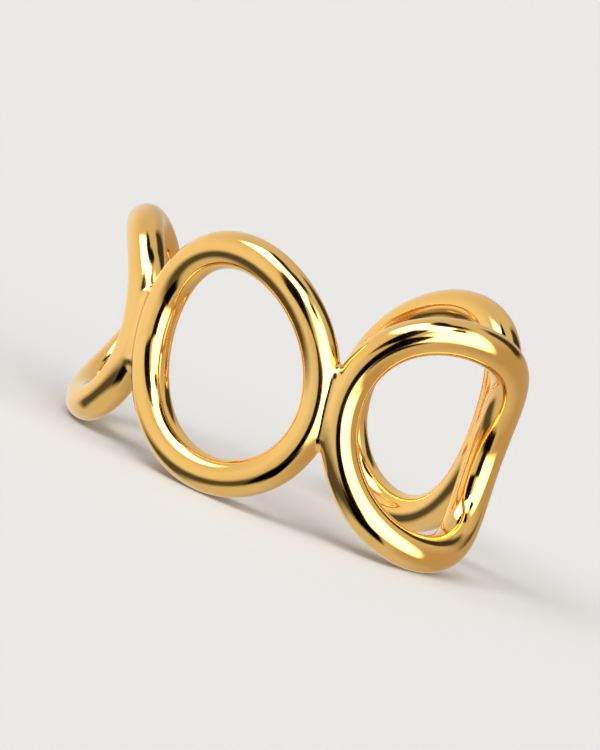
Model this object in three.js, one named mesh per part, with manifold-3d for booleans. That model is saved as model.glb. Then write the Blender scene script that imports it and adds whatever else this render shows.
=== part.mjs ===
// An open ear cuff of polished gold: four open ovals of round wire, soldered side by side
// and bent around an oval section. The gap between the first and the last oval lets the ear's rim in.
// Millimetres, +Z up along the cuff's axis, gap on the +Y side, resting on the bottoms of the ovals.
import * as THREE from 'three';
import { ParametricGeometry } from 'three/addons/geometries/ParametricGeometry.js';
import { mergeVertices } from 'three/addons/utils/BufferGeometryUtils.js';
import Module from 'manifold-3d';

// The round wire.
const wireDiameter = 1.1;

// The cuff seen from above: an oval wall, measured to the middle of the wire.
const wallHalfLength = 6.6;
const wallHalfWidth = 4.0;
const wallTurn = THREE.MathUtils.degToRad(-30);

// One full oval laid flat, measured to the middle of the wire. Its top leans toward the first oval.
const ovalHalfWidth = 3.0;
const ovalHalfHeight = 3.4;
const ovalLean = THREE.MathUtils.degToRad(48);

// The row of ovals along the wall. The first one is smaller and moved up to its neighbour.
const ovalScales = [0.86, 1, 1, 1];
const ovalPitch = 7.15;
const secondOvalAlong = 0.3;

// The solder that fills the seam between two touching ovals.
const solderRadius = 0.36;
const solderLength = 2.5;

// Facets.
const stepsRoundOval = 48;
const sidesOfWire = 12;
const sidesOfSolder = 12;
const stepsOfSolderEnd = 3;
const stepsOfWall = 1000;
const smallAngle = 0.003;

const goldColour = 0xe0b055;
const goldRoughness = 0.16;
const goldMetalness = 1;

const wireRadius = wireDiameter / 2;
const fullTurn = 2 * Math.PI;
const up = new THREE.Vector3(0, 0, 1);

// The wall starts in the middle of its wide front side and runs round toward +X.
const wall = new THREE.EllipseCurve(
  0, 0, wallHalfLength, wallHalfWidth, -Math.PI / 2, 1.5 * Math.PI, false, wallTurn
);
wall.arcLengthDivisions = stepsOfWall;
const wallLength = wall.getLength();

// A distance along the wall and a height give a point, the wall's direction and its outward normal.
function onWall(along, height) {
  const share = THREE.MathUtils.euclideanModulo(along / wallLength, 1);
  const spot = wall.getPointAt(share);
  const heading = wall.getTangentAt(share);
  const forward = new THREE.Vector3(heading.x, heading.y, 0).normalize();
  return {
    point: new THREE.Vector3(spot.x, spot.y, height),
    forward,
    outward: new THREE.Vector3().crossVectors(forward, up),
  };
}

// Half of the height that a full leaning oval takes up.
const ovalReach = Math.hypot(
  ovalHalfWidth * Math.sin(ovalLean),
  ovalHalfHeight * Math.cos(ovalLean)
);

// The angle at which a leaning oval crosses the middle of its own height.
const ovalLevel = Math.atan2(
  ovalHalfWidth * Math.sin(ovalLean),
  ovalHalfHeight * Math.cos(ovalLean)
);

// Where each oval's centre lies. All of them rest on the same plane.
const ovals = ovalScales.map((scale, place) => ({
  scale,
  along: secondOvalAlong + (place - 1) * ovalPitch + (place === 0 ? ovalHalfWidth * (1 - scale) : 0),
  height: wireRadius + scale * ovalReach,
}));

// The offset of a point of a full oval from its centre, along the wall and up.
function ovalOffset(angle) {
  const across = ovalHalfWidth * Math.cos(angle);
  const high = ovalHalfHeight * Math.sin(angle);
  return {
    along: across * Math.cos(ovalLean) - high * Math.sin(ovalLean),
    height: across * Math.sin(ovalLean) + high * Math.cos(ovalLean),
  };
}

// The middle of one oval's wire, bent round the wall.
function wireMiddle(oval, angle) {
  const offset = ovalOffset(angle - ovalLevel);
  return onWall(
    oval.along + oval.scale * offset.along,
    oval.height + oval.scale * offset.height
  );
}

// One oval of wire as a closed tube: u runs round the oval, v round the section. The section turns
// with the wall, so that each oval rests on one row of corners.
function wireOval(oval) {
  return new ParametricGeometry((u, v, target) => {
    const angle = (u % 1) * fullTurn;
    const turn = (v % 1) * fullTurn;
    const { point, outward } = wireMiddle(oval, angle);
    const before = wireMiddle(oval, angle - smallAngle).point;
    const after = wireMiddle(oval, angle + smallAngle).point;
    const across = after.sub(before).cross(outward).normalize();
    target.copy(point)
      .addScaledVector(across, wireRadius * Math.cos(turn))
      .addScaledVector(outward, wireRadius * Math.sin(turn));
  }, stepsRoundOval, sidesOfWire);
}

// The solder between two ovals: a bead with round ends that follows their shared side.
function solderBead(left, right) {
  const share = left.scale / (left.scale + right.scale);
  const place = onWall(
    THREE.MathUtils.lerp(left.along, right.along, share),
    THREE.MathUtils.lerp(left.height, right.height, share)
  );
  const before = ovalOffset(-ovalLevel - smallAngle);
  const after = ovalOffset(-ovalLevel + smallAngle);
  const along = new THREE.Vector3()
    .addScaledVector(place.forward, after.along - before.along)
    .addScaledVector(up, after.height - before.height)
    .normalize();
  const across = new THREE.Vector3().crossVectors(along, place.outward);
  const frame = new THREE.Matrix4().makeBasis(across, along, place.outward).setPosition(place.point);
  const straight = solderLength - 2 * solderRadius;
  return new THREE.CapsuleGeometry(solderRadius, straight, stepsOfSolderEnd, sidesOfSolder)
    .applyMatrix4(frame);
}

const manifold = await Module();
manifold.setup();

// A closed geometry as a solid that can be joined.
function toSolid(geometry) {
  geometry.deleteAttribute('normal');
  geometry.deleteAttribute('uv');
  const merged = mergeVertices(geometry);
  return new manifold.Manifold(new manifold.Mesh({
    numProp: 3,
    vertProperties: new Float32Array(merged.attributes.position.array),
    triVerts: new Uint32Array(merged.index.array),
  }));
}

// The joined solid as a geometry, standing on z = 0 with its box centred on the axis.
function toGeometry(solid) {
  const mesh = solid.getMesh();
  const geometry = new THREE.BufferGeometry();
  geometry.setAttribute('position', new THREE.BufferAttribute(mesh.vertProperties, 3));
  geometry.setIndex(new THREE.BufferAttribute(mesh.triVerts, 1));
  geometry.computeBoundingBox();
  const box = geometry.boundingBox;
  geometry.translate(-(box.min.x + box.max.x) / 2, -(box.min.y + box.max.y) / 2, -box.min.z);
  geometry.computeVertexNormals();
  return geometry;
}

const loops = ovals.map((oval) => toSolid(wireOval(oval)));
const beads = ovals.slice(1).map((oval, place) => toSolid(solderBead(ovals[place], oval)));
const soldered = [...loops, ...beads].reduce((whole, piece) => whole.add(piece));

const gold = new THREE.MeshStandardMaterial({
  name: 'gold',
  color: goldColour,
  roughness: goldRoughness,
  metalness: goldMetalness,
});

const cuff = new THREE.Mesh(toGeometry(soldered), gold);
cuff.name = 'oval_cuff';

const earCuff = new THREE.Group();
earCuff.add(cuff);

export default earCuff;
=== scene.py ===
from math import atan2, cos, hypot, pi, radians, sin

import bpy
import numpy as np
from mathutils import Matrix, Vector


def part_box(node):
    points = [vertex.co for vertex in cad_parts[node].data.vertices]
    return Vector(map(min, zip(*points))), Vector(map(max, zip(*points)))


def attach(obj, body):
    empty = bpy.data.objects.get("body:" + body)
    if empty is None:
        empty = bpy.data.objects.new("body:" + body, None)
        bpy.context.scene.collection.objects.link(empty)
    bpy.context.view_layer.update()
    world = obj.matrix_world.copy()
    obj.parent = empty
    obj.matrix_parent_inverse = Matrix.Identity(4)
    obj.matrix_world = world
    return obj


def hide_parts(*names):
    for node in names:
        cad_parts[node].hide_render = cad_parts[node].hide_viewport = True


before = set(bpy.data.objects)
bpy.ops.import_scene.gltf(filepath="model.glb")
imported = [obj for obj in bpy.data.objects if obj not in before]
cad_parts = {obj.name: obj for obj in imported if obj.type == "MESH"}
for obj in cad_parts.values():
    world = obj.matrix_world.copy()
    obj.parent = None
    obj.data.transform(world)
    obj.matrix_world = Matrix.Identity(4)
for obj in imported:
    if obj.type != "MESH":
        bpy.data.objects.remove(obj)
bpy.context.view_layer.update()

# The oval cuff: four open ovals of round wire, soldered side by side and bent round an oval section.
# Polished gold plating on brass. The ovals are closed loops of drawn wire, and solder runs into the
# seams between them, which are filed and polished until wire and solder are one smooth surface.
wire_radius = 0.00055
wall_half_length = 0.0066
wall_half_width = 0.0040
wall_turn = radians(-30)
oval_half_width = 0.0030
oval_half_height = 0.0034
oval_lean = radians(48)
oval_scales = [0.86, 1, 1, 1]
oval_pitch = 0.00715
second_oval_along = 0.0003

solder_radius = 0.00036
solder_half_length = 0.00089
solder_flow = 0.00015

wall_points = 20001
loop_steps = 240
wire_sides = 24
skin_voxel = 0.000066
skin_steps = 3
wire_steps = 4
small_angle = 0.001
small_shift = 0.000001
points_at_once = 4000

# The wall seen from above as a table of lengths along it, from the middle of its wide front side.
wall_angle = np.linspace(-pi / 2, 3 * pi / 2, wall_points)
wall_long = wall_half_length * np.cos(wall_angle)
wall_wide = wall_half_width * np.sin(wall_angle)
wall_x = wall_long * cos(wall_turn) - wall_wide * sin(wall_turn)
wall_y = wall_long * sin(wall_turn) + wall_wide * cos(wall_turn)
wall_step = np.hypot(np.diff(wall_x), np.diff(wall_y))
wall_along = np.concatenate([[0], np.cumsum(wall_step)])

oval_reach = hypot(oval_half_width * sin(oval_lean), oval_half_height * cos(oval_lean))
oval_level = atan2(oval_half_width * sin(oval_lean), oval_half_height * cos(oval_lean))


def on_wall(along, height):
    """Points of the wall at distances along it and heights."""
    along = np.mod(along, wall_along[-1])
    x = np.interp(along, wall_along, wall_x)
    y = np.interp(along, wall_along, wall_y)
    return np.stack([x, y, height], axis=-1)


def oval_centre(place):
    """How far along the wall an oval's centre lies and how high, with its bottom on the ground."""
    scale = oval_scales[place]
    along = second_oval_along + (place - 1) * oval_pitch
    if place == 0:
        along += oval_half_width * (1 - scale)
    return along, wire_radius + scale * oval_reach


def oval_line(place, angle):
    """Points of the middle of an oval's wire."""
    along, height = oval_centre(place)
    across = oval_scales[place] * oval_half_width * np.cos(angle - oval_level)
    high = oval_scales[place] * oval_half_height * np.sin(angle - oval_level)
    return on_wall(
        along + across * cos(oval_lean) - high * sin(oval_lean),
        height + across * sin(oval_lean) + high * cos(oval_lean),
    )


def unit(vectors):
    """The vectors at length one."""
    return vectors / np.linalg.norm(vectors, axis=-1, keepdims=True)


def wire_tube(place):
    """Corners and faces of an oval's wire as a closed tube."""
    middle = oval_line(place, np.linspace(0, 2 * pi, loop_steps, endpoint=False))
    ahead = unit(np.roll(middle, -1, axis=0) - np.roll(middle, 1, axis=0))
    side = unit(np.cross(ahead, [0, 0, 1]) + small_shift)
    other = np.cross(ahead, side)
    turn = np.linspace(0, 2 * pi, wire_sides, endpoint=False)[None, :, None]
    outward = np.cos(turn) * side[:, None] + np.sin(turn) * other[:, None]
    corners = middle[:, None] + wire_radius * outward
    number = np.arange(loop_steps * wire_sides).reshape(loop_steps, wire_sides)
    next_step = np.roll(number, -1, axis=0)
    faces = np.stack(
        [number, next_step, np.roll(next_step, -1, axis=1), np.roll(number, -1, axis=1)], axis=-1
    )
    return corners.reshape(-1, 3), faces.reshape(-1, 4)


def seam_ends(place):
    """The two ends of the solder in the seam between an oval and the next one."""
    share = oval_scales[place] / (oval_scales[place] + oval_scales[place + 1])
    left = np.array(oval_centre(place))
    right = np.array(oval_centre(place + 1))
    along, height = left + share * (right - left)
    across = oval_half_width * sin(oval_level)
    high = oval_half_height * cos(oval_level)
    run = across * cos(oval_lean) - high * sin(oval_lean)
    climb = across * sin(oval_lean) + high * cos(oval_lean)
    slant = np.array([run, climb]) / hypot(run, climb)
    ends = np.array([along, height]) + solder_half_length * np.array([[-1], [1]]) * slant
    return on_wall(ends[:, 0], ends[:, 1])


def nearest_angles(points, place):
    """For each point, the angle round an oval of about the nearest point of its wire."""
    start = np.linspace(0, 2 * pi, loop_steps, endpoint=False)
    line = oval_line(place, start)
    angle = np.empty(len(points))
    for first in range(0, len(points), points_at_once):
        some = points[first:first + points_at_once]
        away = ((some[:, None] - line[None]) ** 2).sum(axis=-1)
        angle[first:first + points_at_once] = start[away.argmin(axis=1)]
    return angle


def wire_distance(points, place, angle):
    """Distance of points from the middle of an oval's wire and the direction away from it."""
    for _ in range(wire_steps):
        step = oval_line(place, angle + small_angle) - oval_line(place, angle - small_angle)
        speed = step / (2 * small_angle)
        gap = points - oval_line(place, angle)
        angle = angle + (gap * speed).sum(axis=1) / (speed ** 2).sum(axis=1)
    away = points - oval_line(place, angle)
    length = np.linalg.norm(away, axis=1)
    return length, away / length[:, None]


def seam_distance(points, ends):
    """Distance of points from a seam's solder line and the direction away from it."""
    line = ends[1] - ends[0]
    share = np.clip(((points - ends[0]) @ line) / (line @ line), 0, 1)
    away = points - ends[0] - share[:, None] * line
    length = np.linalg.norm(away, axis=1)
    return length, away / length[:, None]


def melt(first, second):
    """Two surfaces run into one with a small fillet where they meet."""
    share = np.clip(0.5 + 0.5 * (second[0] - first[0]) / solder_flow, 0, 1)
    height = share * first[0] + (1 - share) * second[0] - solder_flow * share * (1 - share)
    away = share[:, None] * first[1] + (1 - share)[:, None] * second[1]
    return height, away


def metal_height(points, angles):
    """How far points lie outside the soldered metal, and the direction out of it."""
    places = range(len(oval_scales))
    whole = None
    for place in places:
        length, away = wire_distance(points, place, angles[place])
        wire = (length - wire_radius, away)
        whole = wire if whole is None else melt(whole, wire)
    for place in places[:-1]:
        length, away = seam_distance(points, seam_ends(place))
        whole = melt(whole, (length - solder_radius, away))
    return whole


corners = np.empty((0, 3))
faces = np.empty((0, 4), int)
for place in range(len(oval_scales)):
    tube_corners, tube_faces = wire_tube(place)
    faces = np.vstack([faces, tube_faces + len(corners)])
    corners = np.vstack([corners, tube_corners])

rough = bpy.data.meshes.new("rough_cuff")
rough.from_pydata(corners.tolist(), [], faces.tolist())
cuff = bpy.data.objects.new("polished_cuff", rough)
bpy.context.scene.collection.objects.link(cuff)
skin = cuff.modifiers.new("skin", "REMESH")
skin.mode = "VOXEL"
skin.voxel_size = skin_voxel
cuff_mesh = bpy.data.meshes.new_from_object(cuff.evaluated_get(bpy.context.evaluated_depsgraph_get()))
cuff.modifiers.clear()
cuff.data = cuff_mesh
bpy.data.meshes.remove(rough)

points = np.empty(len(cuff_mesh.vertices) * 3)
cuff_mesh.vertices.foreach_get("co", points)
points = points.reshape(-1, 3)
angles = [nearest_angles(points, place) for place in range(len(oval_scales))]
for _ in range(skin_steps):
    height, away = metal_height(points, angles)
    points -= height[:, None] * unit(away)
height, away = metal_height(points, angles)

low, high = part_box("oval_cuff")
offset = (Vector(corners.min(axis=0)) + Vector(corners.max(axis=0)) - low - high) / 2
offset.z = corners[:, 2].min() - low.z
points -= np.array(offset)
cuff_mesh.vertices.foreach_set("co", points.ravel())
cuff_mesh.shade_smooth()
cuff_mesh.normals_split_custom_set_from_vertices(unit(away).tolist())
cuff_mesh.update()

# The gold's colours and finish. Scales are patches per metre, depths are metres.
deep_gold = (0.89, 0.51, 0.13, 1)
pale_gold = (0.95, 0.65, 0.24, 1)
plating_scale = 350
patch_paleness = 0.6
seam_paleness = 0.4
haze_scale = 900
cloud_sharpness = 2
seam_dullness = 0.5
clean_roughness = 0.06
dull_roughness = 0.20
wave_scale = 700
wave_depth = 0.000006
scratch_scale = 14000
scratch_depth = 0.0000002
noise_detail = 3
seam_reach = 0.0012

# How near the solder each point lies: one in the middle of a seam, none away from it.
seams = range(len(oval_scales) - 1)
metal_points = points + np.array(offset)
seam_gap = np.min([seam_distance(metal_points, seam_ends(place))[0] for place in seams], axis=0)
seam_share = np.clip(1 - seam_gap / seam_reach, 0, 1)
seam_mark = cuff_mesh.attributes.new("seam", "FLOAT", "POINT")
seam_mark.data.foreach_set("value", seam_share)


def empty_group(name, inputs, output, output_kind):
    """A node group with named inputs and one output, and its two end nodes."""
    group = bpy.data.node_groups.new(name, "ShaderNodeTree")
    for label, kind in inputs:
        group.interface.new_socket(label, in_out="INPUT", socket_type="NodeSocket" + kind)
    group.interface.new_socket(output, in_out="OUTPUT", socket_type="NodeSocket" + output_kind)
    return group, group.nodes.new("NodeGroupInput"), group.nodes.new("NodeGroupOutput")


def noise(group, place, scale):
    """Cloudy noise in a group, about a half on average."""
    node = group.nodes.new("ShaderNodeTexNoise")
    node.inputs["Detail"].default_value = noise_detail
    group.links.new(place, node.inputs["Vector"])
    group.links.new(scale, node.inputs["Scale"])
    return node.outputs["Fac"]


def sum_of(group, operation, *values):
    """One sum in a group, from sockets and numbers."""
    node = group.nodes.new("ShaderNodeMath")
    node.operation = operation
    for number, value in enumerate(values):
        if isinstance(value, (int, float)):
            node.inputs[number].default_value = value
        else:
            group.links.new(value, node.inputs[number])
    return node.outputs[0]


def colour_mix(tree, share, first, second):
    """Two colours mixed by a share, from sockets and plain colours."""
    node = tree.nodes.new("ShaderNodeMix")
    node.data_type = "RGBA"
    colour_in = [socket for socket in node.inputs if socket.type == "RGBA"]
    tree.links.new(share, node.inputs["Factor"])
    for socket, value in zip(colour_in, (first, second)):
        if isinstance(value, tuple):
            socket.default_value = value
        else:
            tree.links.new(value, socket)
    return next(socket for socket in node.outputs if socket.type == "RGBA")


def put_group(tree, group, values):
    """A group put in a material or in the studio, with its inputs set or linked. Gives its output."""
    node = tree.nodes.new("ShaderNodeGroup")
    node.node_tree = group
    for name, value in values.items():
        if isinstance(value, bpy.types.NodeSocket):
            tree.links.new(value, node.inputs[name])
        else:
            node.inputs[name].default_value = value
    return node.outputs[0]


# The plating's colour: deeper where it lies thick, paler in patches and over the solder.
plating, plating_in, plating_out = empty_group(
    "gold_plating",
    [("Place", "Vector"), ("Patch Scale", "Float"), ("Seam", "Float"), ("Deep", "Color"), ("Pale", "Color")],
    "Colour", "Color",
)
plating_noise = noise(plating, plating_in.outputs["Place"], plating_in.outputs["Patch Scale"])
patches = sum_of(plating, "MULTIPLY", plating_noise, patch_paleness)
over_solder = sum_of(plating, "MULTIPLY", plating_in.outputs["Seam"], seam_paleness)
paleness = sum_of(plating, "ADD", patches, over_solder)
plating_colour = colour_mix(plating, paleness, plating_in.outputs["Deep"], plating_in.outputs["Pale"])
plating.links.new(plating_colour, plating_out.inputs["Colour"])

# The polish: clean metal with faint hazy patches, duller in the seams where the buff reaches less.
haze, haze_in, haze_out = empty_group(
    "polish_haze",
    [("Place", "Vector"), ("Patch Scale", "Float"), ("Seam", "Float"), ("Clean", "Float"), ("Dull", "Float")],
    "Roughness", "Float",
)
haze_noise = noise(haze, haze_in.outputs["Place"], haze_in.outputs["Patch Scale"])
cloud = sum_of(haze, "POWER", haze_noise, cloud_sharpness)
in_seam = sum_of(haze, "MULTIPLY", haze_in.outputs["Seam"], seam_dullness)
dullness = sum_of(haze, "ADD", cloud, in_seam)
spread = sum_of(haze, "SUBTRACT", haze_in.outputs["Dull"], haze_in.outputs["Clean"])
haze_sum = sum_of(haze, "ADD", haze_in.outputs["Clean"], sum_of(haze, "MULTIPLY", dullness, spread))
haze.links.new(haze_sum, haze_out.inputs["Roughness"])

# The hand finish: long low waves left by filing and fine scratches left by the buff, in metres.
finish, finish_in, finish_out = empty_group(
    "hand_finish",
    [("Place", "Vector"), ("Wave Scale", "Float"), ("Wave Depth", "Float"),
     ("Scratch Scale", "Float"), ("Scratch Depth", "Float")],
    "Height", "Float",
)
waves = noise(finish, finish_in.outputs["Place"], finish_in.outputs["Wave Scale"])
scratches = noise(finish, finish_in.outputs["Place"], finish_in.outputs["Scratch Scale"])
finish_height = sum_of(
    finish, "ADD",
    sum_of(finish, "MULTIPLY", waves, finish_in.outputs["Wave Depth"]),
    sum_of(finish, "MULTIPLY", scratches, finish_in.outputs["Scratch Depth"]),
)
finish.links.new(finish_height, finish_out.inputs["Height"])

gold = bpy.data.materials.new("polished_gold")
gold.use_nodes = True
metal = gold.node_tree
shader = metal.nodes["Principled BSDF"]
shader.inputs["Metallic"].default_value = 1
metal_place = metal.nodes.new("ShaderNodeTexCoord").outputs["Object"]
seam_node = metal.nodes.new("ShaderNodeAttribute")
seam_node.attribute_name = "seam"
metal_seam = seam_node.outputs["Fac"]

gold_colour = put_group(metal, plating, {
    "Place": metal_place,
    "Patch Scale": plating_scale,
    "Seam": metal_seam,
    "Deep": deep_gold,
    "Pale": pale_gold,
})
gold_roughness = put_group(metal, haze, {
    "Place": metal_place,
    "Patch Scale": haze_scale,
    "Seam": metal_seam,
    "Clean": clean_roughness,
    "Dull": dull_roughness,
})
gold_height = put_group(metal, finish, {
    "Place": metal_place,
    "Wave Scale": wave_scale,
    "Wave Depth": wave_depth,
    "Scratch Scale": scratch_scale,
    "Scratch Depth": scratch_depth,
})
finish_bump = metal.nodes.new("ShaderNodeBump")
finish_bump.inputs["Distance"].default_value = 1
metal.links.new(gold_height, finish_bump.inputs["Height"])
metal.links.new(gold_colour, shader.inputs["Base Color"])
metal.links.new(gold_roughness, shader.inputs["Roughness"])
metal.links.new(finish_bump.outputs["Normal"], shader.inputs["Normal"])

cuff_mesh.materials.clear()
cuff_mesh.materials.append(gold)
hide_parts("oval_cuff")
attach(cuff, "root")

# The floor: a pale matt sheet of paper under the cuff, which reaches past the picture's edges.
# It takes the cuff's shadow, and the metal mirrors the studio instead of it.
floor_size = 3.0
paper_colour = (0.48, 0.475, 0.465, 1)
paper_roughness = 0.9
bpy.ops.mesh.primitive_plane_add(size=floor_size, location=(0, 0, 0))
floor = bpy.context.object
floor.name = "floor"
paper = bpy.data.materials.new("pale_paper")
paper.use_nodes = True
paper_shader = paper.node_tree.nodes["Principled BSDF"]
paper_shader.inputs["Base Color"].default_value = paper_colour
paper_shader.inputs["Roughness"].default_value = paper_roughness
floor.data.materials.append(paper)
floor.visible_glossy = False

# The camera: the photograph's angle, from a little above the cuff's middle, and rolled so that the
# cuff's axis leans to the right. It stands nearer by, so that the cuff fills most of the picture.
camera_azimuth = radians(6.4)
camera_elevation = radians(8.4)
camera_roll = radians(19.6)
camera_distance = 0.30
film_width = 36
width_in_view = 0.0175
nearest_seen = 0.001
target = Vector((0, 0, 0.0037))

direction = Vector((
    sin(camera_azimuth) * cos(camera_elevation),
    -cos(camera_azimuth) * cos(camera_elevation),
    sin(camera_elevation),
))
camera_data = bpy.data.cameras.new("camera")
camera_data.sensor_fit = "HORIZONTAL"
camera_data.sensor_width = film_width
camera_data.clip_start = nearest_seen
camera_data.lens = film_width * camera_distance / width_in_view
camera = bpy.data.objects.new("camera", camera_data)
bpy.context.scene.collection.objects.link(camera)
camera.location = target + camera_distance * direction
aim = direction.to_track_quat("Z", "Y")
camera.rotation_euler = (aim.to_matrix() @ Matrix.Rotation(camera_roll, 3, "Z")).to_euler()
bpy.context.scene.camera = camera

# The studio: a pale tent of cloth lit from outside, with soft bright panels to the right and overhead.
# Black flags hang between them, and the polished metal mirrors all of it as white and black lines.
world = bpy.data.worlds.new("studio")
bpy.context.scene.world = world
world.use_nodes = True
tent = world.node_tree

panel, panel_in, panel_out = empty_group(
    "studio_panel",
    [(name, "Float") for name in (
        "Azimuth", "Elevation", "Middle Azimuth", "Half Width", "Middle Elevation", "Half Height", "Edge"
    )],
    "Mask", "Float",
)


def panel_share(angle, middle, half):
    """One inside the panel in one direction, none outside, with a soft edge."""
    turned = sum_of(panel, "SUBTRACT", panel_in.outputs[angle], panel_in.outputs[middle])
    off = sum_of(panel, "ABSOLUTE", sum_of(panel, "WRAP", turned, pi, -pi))
    inside = sum_of(panel, "SUBTRACT", panel_in.outputs[half], off)
    soft = sum_of(panel, "DIVIDE", inside, panel_in.outputs["Edge"])
    above_none = sum_of(panel, "MAXIMUM", sum_of(panel, "ADD", soft, 0.5), 0)
    return sum_of(panel, "MINIMUM", above_none, 1)


across_share = panel_share("Azimuth", "Middle Azimuth", "Half Width")
upward_share = panel_share("Elevation", "Middle Elevation", "Half Height")
both_ways = sum_of(panel, "MULTIPLY", across_share, upward_share)
panel.links.new(both_ways, panel_out.inputs["Mask"])

tent_direction = tent.nodes.new("ShaderNodeTexCoord").outputs["Generated"]
split = tent.nodes.new("ShaderNodeSeparateXYZ")
tent.links.new(tent_direction, split.inputs["Vector"])
toward_front = sum_of(tent, "MULTIPLY", split.outputs["Y"], -1)
azimuth = sum_of(tent, "ARCTAN2", split.outputs["X"], toward_front)
elevation = sum_of(tent, "ARCSINE", split.outputs["Z"])

tent_light = (0.74, 0.74, 0.74, 1)
side_light = (1, 1, 1, 1)
warm_shade = (0.55, 0.48, 0.4, 1)
low_shade = (0.1, 0.1, 0.1, 1)
right_light = (4.5, 4.5, 4.5, 1)
top_light = (6, 6, 6, 1)
black = (0, 0, 0, 1)
back_shade = (0.05, 0.05, 0.05, 1)

# Each panel's middle, half size and soft edge in degrees, and its light. Later ones hang in front.
panels = [
    {"azimuth": -100, "half_width": 60, "elevation": 0, "half_height": 30, "edge": 40, "light": side_light},
    {"azimuth": 110, "half_width": 70, "elevation": -10, "half_height": 45, "edge": 35, "light": warm_shade},
    {"azimuth": -50, "half_width": 70, "elevation": -38, "half_height": 15, "edge": 14, "light": low_shade},
    {"azimuth": 40, "half_width": 32, "elevation": 20, "half_height": 36, "edge": 14, "light": right_light},
    {"azimuth": -35, "half_width": 62, "elevation": 55, "half_height": 14, "edge": 6, "light": top_light},
    {"azimuth": -20, "half_width": 110, "elevation": 79, "half_height": 9, "edge": 5, "light": black},
    {"azimuth": -24, "half_width": 16, "elevation": 28, "half_height": 20, "edge": 4, "light": black},
    {"azimuth": 2, "half_width": 14, "elevation": -6, "half_height": 18, "edge": 4, "light": black},
    {"azimuth": 2, "half_width": 24, "elevation": -36, "half_height": 14, "edge": 6, "light": black},
    {"azimuth": 34, "half_width": 14, "elevation": 54, "half_height": 7, "edge": 4, "light": black},
    {"azimuth": 140, "half_width": 18, "elevation": 35, "half_height": 22, "edge": 8, "light": back_shade},
]

light = tent_light
for hung in panels:
    mask = put_group(tent, panel, {
        "Azimuth": azimuth,
        "Elevation": elevation,
        "Middle Azimuth": radians(hung["azimuth"]),
        "Half Width": radians(hung["half_width"]),
        "Middle Elevation": radians(hung["elevation"]),
        "Half Height": radians(hung["half_height"]),
        "Edge": radians(hung["edge"]),
    })
    light = colour_mix(tent, mask, light, hung["light"])
tent.links.new(light, tent.nodes["Background"].inputs["Color"])
bpy.context.scene.view_settings.view_transform = "Standard"
